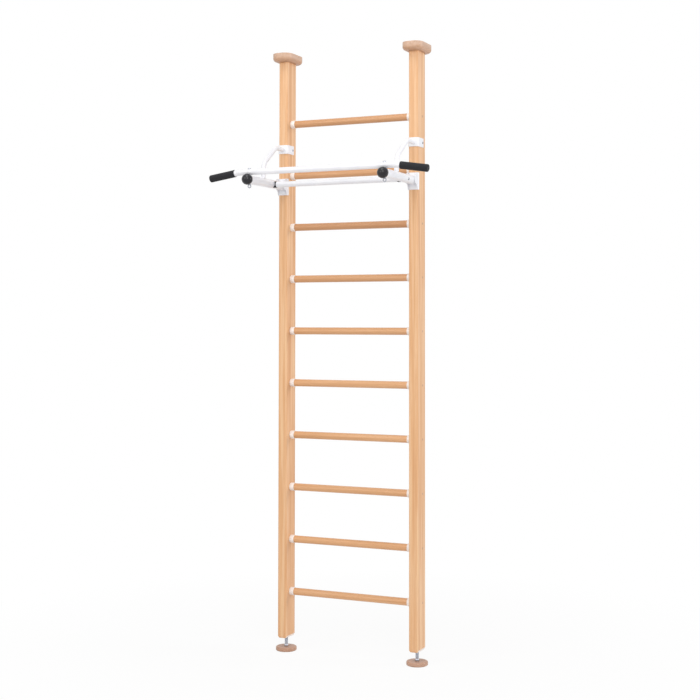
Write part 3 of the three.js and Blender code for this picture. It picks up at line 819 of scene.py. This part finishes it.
# Moulded polyethylene: near black with a grey bloom about 12 mm wide where it is handled, a soft
# shine and a fine sparked texture, drawn at 1.2 mm.
def black_polyethylene():
    material = new_material("black_polyethylene")
    tree = material.node_tree
    place = add_node(tree, "ShaderNodeTexCoord", {}).outputs["Object"]
    bloom = add_node(tree, "ShaderNodeTexNoise", {"Vector": place, "Scale": 1 / 0.012, "Detail": 3.0})
    tone = add_node(tree, "ShaderNodeValToRGB", {"Fac": bloom.outputs["Fac"]}, stops=[
        (0.3, srgb("#0F0F14")), (0.7, srgb("#1D1D24"))])
    spark = add_node(tree, "ShaderNodeTexNoise", {"Vector": place, "Scale": 1 / 0.0012, "Detail": 2.0})
    roughness = add_node(tree, "ShaderNodeMapRange", {
        "Value": spark.outputs["Fac"], "From Min": 0.3, "From Max": 0.7,
        "To Min": 0.20, "To Max": 0.32})
    relief = add_node(tree, "ShaderNodeBump", {
        "Height": spark.outputs["Fac"], "Strength": 0.15, "Distance": 0.0003})
    surface = add_node(tree, "ShaderNodeBsdfPrincipled", {
        "Base Color": tone.outputs["Color"], "Roughness": roughness.outputs[0],
        "Normal": relief.outputs["Normal"], "IOR": 1.5, "Specular IOR Level": 0.42})
    add_node(tree, "ShaderNodeOutputMaterial", {"Surface": surface.outputs["BSDF"]})
    return material


black_plastic = black_polyethylene()
for label, _ in SIDES:
    low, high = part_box("arm_" + label)
    place = middle_of("arm_" + label)
    reach = high.y - low.y
    tube = turned((
        (ARM_RADIUS - ARM_WALL, 0), (ARM_RADIUS, 0), (ARM_RADIUS, reach - ARM_RIM),
        (ARM_RADIUS - ARM_RIM, reach), (ARM_RADIUS - ARM_WALL, reach)), facets=48, joined=True)
    lay(tube, (place.x, high.y, place.z), (0, -1, 0))
    ease(tube)
    hand_over(tube, label + "_arm", white_paint, "white_paint", "frame", "arm_" + label)
    bpy.ops.object.select_all(action="DESELECT")
    bpy.ops.mesh.primitive_torus_add(
        major_radius=ARM_RADIUS, minor_radius=BEAD_RADIUS, major_segments=64, minor_segments=10)
    bead = bpy.context.active_object
    bpy.ops.object.mode_set(mode="EDIT")
    bpy.ops.mesh.select_all(action="SELECT")
    bpy.ops.transform.vertex_random(offset=BEAD_RIPPLE, seed=BEAD_SEED)
    bpy.ops.object.mode_set(mode="OBJECT")
    lay(bead, (place.x, high.y, place.z), (0, -1, 0))
    ease(bead, degrees=60)
    hand_over(bead, label + "_arm_weld", white_paint, "white_paint", "frame")
    skirt = math.degrees(math.asin(CAP_SKIRT / CAP_RADIUS))
    cap = turned((
        (CAP_BORE, CAP_SEAT), (CAP_BORE, -CAP_SKIRT),
        *arc(CAP_RADIUS, 0, -skirt, 87, 20)), facets=56)
    lay(cap, (place.x, low.y, place.z), (0, -1, 0))
    ease(cap)
    hand_over(cap, label + "_ball_cap", black_plastic, "black_plastic", "frame", "arm_cap_" + label)

# Clamps and braces
# A steel band is bent round the front and sides of each post and screwed on. A bent rod is welded
# to it and runs down to the arm, where it is welded too. All are powder coated with the arms.
CLAMP_SCREW = (0.0048, 0.0026, 0.022)
CLAMP_SCREW_INSET = 0.011
SHANK_RADIUS = 0.0022
SHANK_POINT = 0.0008
SHANK_TAPER = 0.004
DOME_PROFILE = ((1.0, 0.3), (0.92, 0.62), (0.7, 0.88), (0.3, 1.0))
BEND_STEPS = 12
ROD_ROUNDNESS = 14
BRACE_RADIUS = 0.0095
BRACE_BEND = 0.055
BRACE_PATH = ((-0.0455, 2.120), (-0.108, 2.120), (-0.215, 2.040), (-0.215, 1.981))


def bent_rod(corners, bend, radius):
    """Bends a rod: a curve along the corners with a round section, made a mesh."""
    path = [corners[0]]
    for before, corner, after in zip(corners, corners[1:], corners[2:]):
        along = (corner - before).normalized()
        away = (after - corner).normalized()
        turn = along.angle(away)
        inward = (away - along * away.dot(along)).normalized()
        start = corner - along * bend * math.tan(turn / 2)
        for step in range(BEND_STEPS + 1):
            angle = turn * step / BEND_STEPS
            path.append(
                start + inward * bend * (1 - math.cos(angle)) + along * bend * math.sin(angle))
    path.append(corners[-1])
    bpy.ops.object.select_all(action="DESELECT")
    bpy.ops.curve.primitive_bezier_curve_add()
    rod = bpy.context.active_object
    rod.data.splines.clear()
    line = rod.data.splines.new("POLY")
    line.points.add(len(path) - 1)
    for point, place in zip(line.points, path):
        point.co = (*place, 1)
    rod.data.bevel_depth = radius
    rod.data.bevel_resolution = ROD_ROUNDNESS
    rod.data.use_fill_caps = True
    bpy.ops.object.convert(target="MESH")
    rod = bpy.context.active_object
    bpy.ops.object.mode_set(mode="EDIT")
    bpy.ops.mesh.select_all(action="SELECT")
    bpy.ops.mesh.remove_doubles(threshold=MERGE_REACH)
    bpy.ops.mesh.normals_make_consistent(inside=False)
    bpy.ops.object.mode_set(mode="OBJECT")
    return rod


def dome_screw(radius, height, shank):
    """A screw with a low dome and a cross recess, standing on the Z axis with its seat at zero."""
    screw = turned((
        (SHANK_POINT, -shank), (SHANK_RADIUS, -shank + SHANK_TAPER), (SHANK_RADIUS, 0), (radius, 0),
        *[(radius * width, height * rise) for width, rise in DOME_PROFILE]), facets=32)
    cross_cut(screw, height)
    ease(screw)
    return screw


for label, side in SIDES:
    low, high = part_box("brace_clamp_" + label)
    place = (low + high) / 2
    band = folded_sheet(label, low, high)
    ease(band)
    hand_over(band, label + "_clamp", white_paint, "white_paint", "frame", "brace_clamp_" + label)
    rod = bent_rod([Vector((place.x, y, z)) for y, z in BRACE_PATH], BRACE_BEND, BRACE_RADIUS)
    ease(rod)
    hand_over(rod, label + "_brace", white_paint, "white_paint", "frame", "brace_" + label)
    for name, flank in (("inner", -side), ("outer", side)):
        screw = dome_screw(*CLAMP_SCREW)
        face = high.x if flank > 0 else low.x
        lay(screw, (face, high.y - CLAMP_SCREW_INSET, place.z), (flank, 0, 0))
        hand_over(screw, "%s_clamp_screw_%s" % (label, name), zinc_steel, "zinc_steel", "frame")

# Cross bar
# A straight white bar with domed ends that stiffens the arms. Black hollowed saddles keep it off
# them, and a dome-headed bolt runs in from the outside of each arm.
CROSS_RADIUS = 0.01175
CROSS_DOME = 0.022
SADDLE_HEIGHT = 0.0254
SADDLE_DEPTH = 0.012
SADDLE_EDGE = 0.001
SADDLE_LIP = 0.0019
SADDLE_CLEARANCE = 0.0003
SADDLE_DRILL = 0.05
CROSS_BOLT = (0.0055, 0.0032, 0.030)
CROSS_BOLT_BACK = 0.010
CROSS_BOLT_DIP = math.radians(13)

low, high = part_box("cross_bar")
place = (low + high) / 2
half = (high.x - low.x) / 2
dome_middle = half - CROSS_DOME
rim_angle = math.degrees(math.acos(CROSS_RADIUS / CROSS_DOME))
stay = turned((
    *arc(CROSS_DOME, -dome_middle, -88, -rim_angle, 8),
    *arc(CROSS_DOME, dome_middle, rim_angle, 88, 8)), facets=40)
lay(stay, place, (1, 0, 0))
ease(stay)
hand_over(stay, "straight_cross_bar", white_paint, "white_paint", "frame", "cross_bar")
for label, side in SIDES:
    arm = middle_of("arm_" + label)
    lip_x = place.x + side * (half - SADDLE_LIP)
    saddle_half = Vector(((arm.x - lip_x) / 2 * side, SADDLE_DEPTH / 2, SADDLE_HEIGHT / 2))
    saddle_middle = Vector(((arm.x + lip_x) / 2, place.y, place.z))
    saddle = blank(saddle_middle - saddle_half, saddle_middle + saddle_half)
    pick_edges(saddle, lambda a, b: abs(a.x - b.x) > SADDLE_EDGE)
    bpy.ops.mesh.bevel(offset=SADDLE_EDGE, segments=3, affect="EDGES")
    bpy.ops.object.mode_set(mode="OBJECT")
    dome_x = place.x + side * dome_middle
    for x, z, radius, facets in (
            (arm.x, arm.z, ARM_RADIUS, 64), (dome_x, place.z, CROSS_DOME, 96)):
        cut_with(saddle, round_blank(
            (x, place.y - SADDLE_DRILL, z), (x, place.y + SADDLE_DRILL, z),
            radius + SADDLE_CLEARANCE, facets))
    ease(saddle)
    hand_over(saddle, label + "_saddle", black_plastic, "black_plastic", "frame",
              "cross_bar_saddle_" + label)
    bolt = dome_screw(*CROSS_BOLT)
    bolt_way = Vector((side * math.cos(CROSS_BOLT_DIP), 0, -math.sin(CROSS_BOLT_DIP)))
    lay(bolt, Vector((arm.x, place.y + CROSS_BOLT_BACK, arm.z)) + bolt_way * ARM_RADIUS, bolt_way)
    hand_over(bolt, label + "_cross_bar_bolt", zinc_steel, "zinc_steel", "frame")

# Pull-up bar
# One white steel bar laid across the arms, whose ends are bent down. An eye bolt comes up through
# each arm and the bar, with its eye below and a domed nut on top.
BAR_RADIUS = 0.0125
BAR_ELBOW = 0.345
BAR_DROP = math.radians(8.6)
BAR_BEND = 0.080
BAR_LEG = 0.1337
EYE_RADIUS = 0.0063
EYE_WIRE = 0.0022
EYE_ROOT = 0.0005
EYE_COLLAR = 0.006
EYE_COLLAR_THICK = 0.0022
BOLT_RADIUS = 0.004
BOLT_CHAMFER = 0.001
NUT_RADIUS = 0.007
NUT_LOWERED = 0.0018
NUT_DOME = ((1.0, 0.0026), (0.95, 0.0017), (0.80, 0.0008), (0.55, 0.0002), (0.2, 0.0))
NUT_DRILL = 0.02
NUT_CLEARANCE = 0.0002

low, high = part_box("pull_up_bar")
bar_y = (low.y + high.y) / 2
bar_z = high.z - BAR_RADIUS


def leg_point(side, along):
    """A point on the axis of one sloping end of the bar, measured from its elbow."""
    out = BAR_ELBOW + along * math.cos(BAR_DROP)
    return Vector((side * out, bar_y, bar_z - along * math.sin(BAR_DROP)))


bar_corners = [leg_point(-1, BAR_LEG), leg_point(-1, 0), leg_point(1, 0), leg_point(1, BAR_LEG)]
bar = bent_rod(bar_corners, BAR_BEND, BAR_RADIUS)
ease(bar)
hand_over(bar, "bent_pull_up_bar", white_paint, "white_paint", "frame", "pull_up_bar")
for label, _ in SIDES:
    low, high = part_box("eye_bolt_" + label)
    place = (low + high) / 2
    eye_z = low.z + EYE_RADIUS + EYE_WIRE
    collar_top = eye_z + EYE_RADIUS + EYE_WIRE
    eye = turned((
        (EYE_WIRE, eye_z + EYE_RADIUS - EYE_ROOT), (EYE_WIRE, collar_top - EYE_COLLAR_THICK),
        (EYE_COLLAR, collar_top - EYE_COLLAR_THICK), (EYE_COLLAR, collar_top),
        (BOLT_RADIUS, collar_top), (BOLT_RADIUS, high.z - BOLT_CHAMFER),
        (BOLT_RADIUS - BOLT_CHAMFER, high.z)), facets=32)
    eye.location = (place.x, place.y, 0)
    settle(eye)
    bpy.ops.object.select_all(action="DESELECT")
    bpy.ops.mesh.primitive_torus_add(
        major_radius=EYE_RADIUS, minor_radius=EYE_WIRE, major_segments=48, minor_segments=20,
        location=(place.x, place.y, eye_z), rotation=(math.pi / 2, 0, 0))
    ring = bpy.context.active_object
    settle(ring)
    cut_with(eye, ring, "UNION")
    ease(eye)
    hand_over(eye, label + "_eye_bolt", zinc_steel, "zinc_steel", "frame", "eye_bolt_" + label)
    nut_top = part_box("eye_bolt_nut_" + label)[1].z - NUT_LOWERED
    nut = turned((
        (NUT_RADIUS, bar_z),
        *[(NUT_RADIUS * width, nut_top - drop) for width, drop in NUT_DOME]), facets=40)
    nut.location = (place.x, place.y, 0)
    settle(nut)
    cut_with(nut, round_blank(
        (place.x - NUT_DRILL, bar_y, bar_z), (place.x + NUT_DRILL, bar_y, bar_z),
        BAR_RADIUS + NUT_CLEARANCE, facets=64))
    ease(nut)
    hand_over(nut, label + "_domed_nut", zinc_steel, "zinc_steel", "frame", "eye_bolt_nut_" + label)

# Grips
# Closed-cell foam sleeves with a closed, rounded end, pulled over the sloping ends of the bar. They
# are a tight fit and stay on without glue.
GRIP_START = 0.020
GRIP_LENGTH = 0.117
GRIP_RADIUS = 0.015
GRIP_BORE = 0.0126
GRIP_ROUND = 0.0042
GRIP_END = 0.003
GRIP_POLE = 0.002
GRIP_MOUTH = ((0.0012, 0), (0.0004, 0.0004), (0, 0.0014))


# Black rubber foam: a matt charcoal skin with pores about 2 mm wide, a bloom about 15 mm wide and
# a faint sheen at the edge.
def black_rubber_foam():
    material = new_material("black_rubber_foam")
    tree = material.node_tree
    place = add_node(tree, "ShaderNodeTexCoord", {}).outputs["Object"]
    pores = add_node(tree, "ShaderNodeTexVoronoi", {"Vector": place, "Scale": 1 / 0.002})
    bloom = add_node(tree, "ShaderNodeTexNoise", {"Vector": place, "Scale": 1 / 0.015, "Detail": 3.0})
    blend = add_node(tree, "ShaderNodeMath", {
        0: pores.outputs["Distance"], 1: bloom.outputs["Fac"]}, operation="MULTIPLY")
    tone = add_node(tree, "ShaderNodeValToRGB", {"Fac": blend.outputs[0]}, stops=[
        (0.05, srgb("#161619")), (0.45, srgb("#2A2A2F"))])
    roughness = add_node(tree, "ShaderNodeMapRange", {
        "Value": bloom.outputs["Fac"], "From Min": 0.3, "From Max": 0.7,
        "To Min": 0.70, "To Max": 0.88})
    relief = add_node(tree, "ShaderNodeBump", {
        "Height": pores.outputs["Distance"], "Strength": 0.3, "Distance": 0.0006})
    surface = add_node(tree, "ShaderNodeBsdfPrincipled", {
        "Base Color": tone.outputs["Color"], "Roughness": roughness.outputs[0],
        "Normal": relief.outputs["Normal"], "Specular IOR Level": 0.3, "Sheen Weight": 0.08,
        "Sheen Roughness": 0.5})
    add_node(tree, "ShaderNodeOutputMaterial", {"Surface": surface.outputs["BSDF"]})
    return material


grip_foam = black_rubber_foam()
for label, side in SIDES:
    grip = turned((
        (GRIP_BORE, GRIP_LENGTH - GRIP_END), (GRIP_BORE, 0),
        *[(GRIP_RADIUS - inset, height) for inset, height in GRIP_MOUTH],
        *[(GRIP_RADIUS - GRIP_ROUND + r, z)
          for r, z in arc(GRIP_ROUND, GRIP_LENGTH - GRIP_ROUND, 0, 90, 6)],
        (GRIP_POLE, GRIP_LENGTH)), facets=48)
    lay(grip, leg_point(side, GRIP_START), leg_point(side, 1) - leg_point(side, 0))
    ease(grip)
    hand_over(grip, label + "_foam_grip", grip_foam, "grip_foam", "frame", "grip_" + label)

# Room
# A plain pale floor that keeps the shadow, a white surround, and soft light from large lamps, warm
# in front and cool at the side. The camera stands where the photograph was taken from.
FLOOR_SIZE = 24
SHADOW_REACH = (0.6, 2.0)
SHADOW_WHITE = 0.91
SURROUND_LIGHT = 0.45
LAMP_TARGET = Vector((0, -0.1, 1.35))
LAMPS = (
    ("left_lamp", (-2.2, -5.4, 3.6), 2.4, 57, "#FFFEFB"),
    ("right_lamp", (2.8, -5.0, 3.8), 2.4, 83, "#FFFEFB"),
    ("side_lamp", (7.6, 2.4, 3.4), 2.8, 186, "#F8FAFF"),
    ("top_lamp", (0.2, -2.0, 5.6), 2.0, 62, "#FFFFFF"))
CAMERA_PLACE = (2.376, -5.123, 1.387)
CAMERA_TILT, CAMERA_ROLL, CAMERA_TURN = 1.679, -0.07, 24.89


def seen_share(tree):
    """One where a surface is seen, straight or in metal or glass, and nought where it gives light."""
    sight = add_node(tree, "ShaderNodeLightPath", {})
    seen = add_node(tree, "ShaderNodeMath", {
        0: sight.outputs["Is Camera Ray"], 1: sight.outputs["Is Glossy Ray"]}, operation="MAXIMUM")
    seen = add_node(tree, "ShaderNodeMath", {
        0: seen.outputs[0], 1: sight.outputs["Is Transmission Ray"]}, operation="MAXIMUM")
    return seen.outputs[0]


bpy.ops.object.select_all(action="DESELECT")
bpy.ops.mesh.primitive_plane_add(size=FLOOR_SIZE, location=(0, 0, 0))
floor = bpy.context.active_object
floor.name = "floor"
pale_floor = new_material("pale_floor")
tree = pale_floor.node_tree
floor_place = add_node(tree, "ShaderNodeTexCoord", {}).outputs["Object"]
floor_clouds = add_node(tree, "ShaderNodeTexNoise", {"Vector": floor_place, "Scale": 0.5})
floor_tone = add_node(tree, "ShaderNodeValToRGB", {"Fac": floor_clouds.outputs["Fac"]}, stops=[
    (0.0, srgb("#F4F4F4")), (1.0, srgb("#FAFAFA"))])
lit_floor = add_node(tree, "ShaderNodeBsdfDiffuse", {"Color": floor_tone.outputs["Color"]})
white_floor = add_node(tree, "ShaderNodeEmission", {"Color": (1, 1, 1, 1), "Strength": 1.0})
floor_reach = add_node(tree, "ShaderNodeVectorMath", {0: floor_place}, operation="LENGTH")
white_share = add_node(tree, "ShaderNodeMapRange", {
    "Value": floor_reach.outputs["Value"], "From Min": SHADOW_REACH[0], "From Max": SHADOW_REACH[1],
    "To Min": SHADOW_WHITE, "To Max": 1.0})
camera_share = add_node(tree, "ShaderNodeMath", {
    0: seen_share(tree), 1: white_share.outputs[0]}, operation="MULTIPLY")
floor_mix = add_node(tree, "ShaderNodeMixShader", {
    0: camera_share.outputs[0], 1: lit_floor.outputs[0], 2: white_floor.outputs[0]})
add_node(tree, "ShaderNodeOutputMaterial", {"Surface": floor_mix.outputs[0]})
floor.data.materials.append(pale_floor)

surround = bpy.data.worlds.new("surround")
surround.use_nodes = True
tree = surround.node_tree
tree.nodes.clear()
level = add_node(tree, "ShaderNodeMapRange", {
    "Value": seen_share(tree), "To Min": SURROUND_LIGHT, "To Max": 1.0})
white = add_node(tree, "ShaderNodeBackground", {"Color": (1, 1, 1, 1), "Strength": level.outputs[0]})
add_node(tree, "ShaderNodeOutputWorld", {"Surface": white.outputs[0]})
bpy.context.scene.world = surround

for name, place, size, power, tint in LAMPS:
    bpy.ops.object.light_add(type="AREA", location=place)
    lamp = bpy.context.active_object
    lamp.name = name
    lamp.data.size = size
    lamp.data.energy = power
    lamp.data.color = srgb(tint)[:3]
    lamp.rotation_euler = (LAMP_TARGET - Vector(place)).to_track_quat("-Z", "Y").to_euler()

bpy.ops.object.camera_add(location=CAMERA_PLACE)
camera = bpy.context.active_object
camera.name = "photograph_camera"
camera.rotation_euler = [
    math.radians(angle) for angle in (90 + CAMERA_TILT, CAMERA_ROLL, CAMERA_TURN)]
camera.data.sensor_width = 36
camera.data.lens = 69.598
camera.data.shift_x = -0.00064
camera.data.shift_y = -0.0964
bpy.context.scene.camera = camera
bpy.context.scene.view_settings.view_transform = "Standard"
